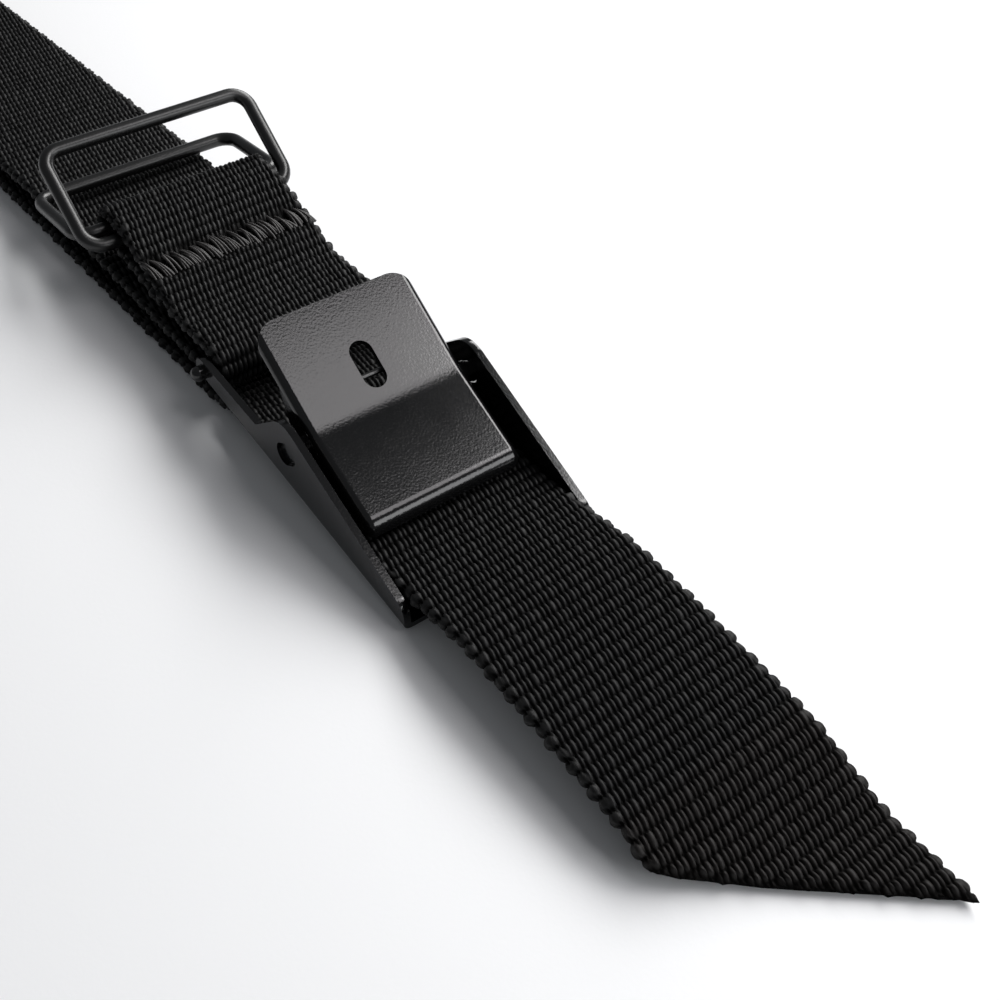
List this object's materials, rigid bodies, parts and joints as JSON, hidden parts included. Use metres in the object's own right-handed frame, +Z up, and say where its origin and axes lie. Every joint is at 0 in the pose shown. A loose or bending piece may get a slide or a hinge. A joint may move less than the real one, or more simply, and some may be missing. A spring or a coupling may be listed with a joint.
{
  "type": "guitar strap",
  "caption": "Ribbed webbing guitar strap folded flat, joined by a sprung cam buckle, with two wire keeper rings, a slanted loose end and a leather end tab with a button hole on each run.",
  "frame": {"origin": "centre of the lower run's flat underside, just behind the buckle, on the surface that the strap lies on", "axes": "+X along the strap from the folded stack to the loose tail's tip, +Y across the webbing, +Z up through the buckle from the surface"},
  "size_m": [0.3634, 0.0415, 0.0191],
  "materials": {
    "webbing": "ribbed weave, matt black",
    "coated_metal": "satin black coating",
    "coated_wire": "satin black coating on round wire",
    "spring_steel": "drawn wire",
    "thread": "polyester thread, slight sheen",
    "tab_leather": "smooth black leather"
  },
  "bodies": {
    "strap": {"upper_webbing": "webbing", "lower_webbing": "webbing", "buckle_frame": "coated_metal", "rear_pin": "coated_metal", "cam_pivot_pin": "coated_metal", "cam_spring": "spring_steel", "bar_tack": "thread", "upper_end_tab": "tab_leather", "lower_end_tab": "tab_leather", "upper_tab_stitching": "thread", "lower_tab_stitching": "thread"},
    "lever": {"cam_lever": "coated_metal"},
    "upper_ring": {"upper_keeper_ring": "coated_wire"},
    "lower_ring": {"lower_keeper_ring": "coated_wire"}
  },
  "joints": [
    {"name": "lever_press", "type": "hinge", "parent": "strap", "child": "lever", "pos_m": [0.02655, 0, 0.0082], "axis": [0, -1, 0], "range_deg": [0, 25], "stiffness_Nm_per_rad": 0.05, "springref_deg": -11.46, "deforming": ["cam_spring"]},
    {"name": "upper_ring_swing", "type": "hinge", "parent": "strap", "child": "upper_ring", "pos_m": [-0.01975, 0, 0.01], "axis": [0, 1, 0], "range_deg": [0, 120]},
    {"name": "lower_ring_swing", "type": "hinge", "parent": "strap", "child": "lower_ring", "pos_m": [-0.02315, 0, 0.01], "axis": [0, 1, 0], "range_deg": [0, 25]}
  ]
}
